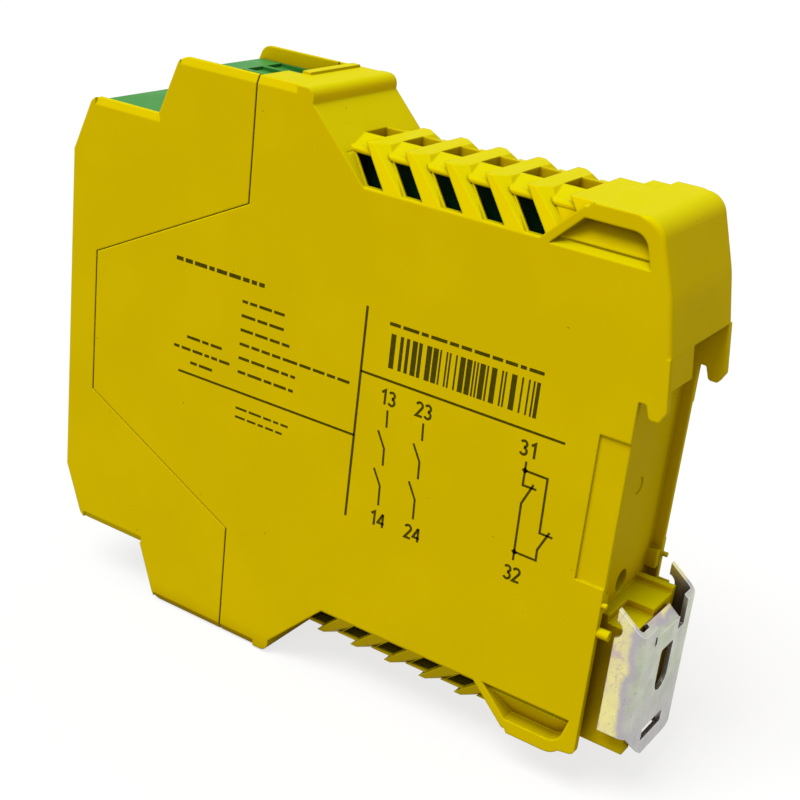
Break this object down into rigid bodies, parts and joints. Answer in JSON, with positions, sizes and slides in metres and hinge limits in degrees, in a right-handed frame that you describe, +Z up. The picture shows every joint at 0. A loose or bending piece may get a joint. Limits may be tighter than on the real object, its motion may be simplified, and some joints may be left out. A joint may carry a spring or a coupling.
{
  "type": "safety relay",
  "caption": "Narrow rail-mounted safety relay module: split moulded housing with vented ledges, tiered pull-off terminal plugs and a sprung metal foot catch.",
  "frame": {"origin": "middle of the rail seat, on the rear edges of the side walls, halfway across the width", "axes": "+X across the width, +Y from the front towards the mounting rail, +Z up as mounted on a horizontal rail"},
  "size_m": [0.0226, 0.1145, 0.099],
  "materials": {
    "housing": "fine moulded grain",
    "cover": "smooth moulded",
    "lens": "clear diffusing light pipe",
    "board": "solder resist",
    "relay_case": "moulded",
    "capacitor_can": "sleeved can",
    "fuse_tube": "glazed",
    "black_plastic": "moulded",
    "plated_sheet": "zinc plated and yellow passivated",
    "terminal_green": "moulded",
    "screw_steel": "zinc plated",
    "cage_metal": "nickel plated",
    "tinned_pin": "tin plated"
  },
  "bodies": {
    "housing": {"lower_housing": "housing", "upper_housing": "housing", "front_cover": "cover", "power_light": "lens", "channel_1_light": "lens", "channel_2_light": "lens", "power_board": "board", "logic_board": "board", "safety_relay_1": "relay_case", "safety_relay_2": "relay_case", "capacitors": "capacitor_can", "fuse": "fuse_tube", "board_link": "black_plastic", "control_chips": "black_plastic", "socket_inner_top": "terminal_green", "contact_pins_inner_top": "tinned_pin", "socket_inner_bottom": "terminal_green", "contact_pins_inner_bottom": "tinned_pin", "socket_outer_top": "terminal_green", "contact_pins_outer_top": "tinned_pin", "socket_outer_bottom": "terminal_green", "contact_pins_outer_bottom": "tinned_pin"},
    "inner_top_plug": {"plug_inner_top": "terminal_green", "clamp_screws_inner_top": "screw_steel", "clamp_cages_inner_top": "cage_metal"},
    "inner_bottom_plug": {"plug_inner_bottom": "terminal_green", "clamp_screws_inner_bottom": "screw_steel", "clamp_cages_inner_bottom": "cage_metal"},
    "outer_top_plug": {"plug_outer_top": "terminal_green", "clamp_screws_outer_top": "screw_steel", "clamp_cages_outer_top": "cage_metal"},
    "outer_bottom_plug": {"plug_outer_bottom": "terminal_green", "clamp_screws_outer_bottom": "screw_steel", "clamp_cages_outer_bottom": "cage_metal"},
    "catch": {"foot_catch": "plated_sheet"}
  },
  "joints": [
    {"name": "inner_top_plug_pull", "type": "slide", "parent": "housing", "child": "inner_top_plug", "axis": [0, -1, 0], "range_m": [0, 0.025]},
    {"name": "inner_bottom_plug_pull", "type": "slide", "parent": "housing", "child": "inner_bottom_plug", "axis": [0, -1, 0], "range_m": [0, 0.025]},
    {"name": "outer_top_plug_pull", "type": "slide", "parent": "housing", "child": "outer_top_plug", "axis": [0, -1, 0], "range_m": [0, 0.045]},
    {"name": "outer_bottom_plug_pull", "type": "slide", "parent": "housing", "child": "outer_bottom_plug", "axis": [0, -1, 0], "range_m": [0, 0.045]},
    {"name": "foot_catch_slide", "type": "slide", "parent": "housing", "child": "catch", "axis": [0, 0, -1], "range_m": [0, 0.0035], "stiffness_N_per_m": 600}
  ]
}
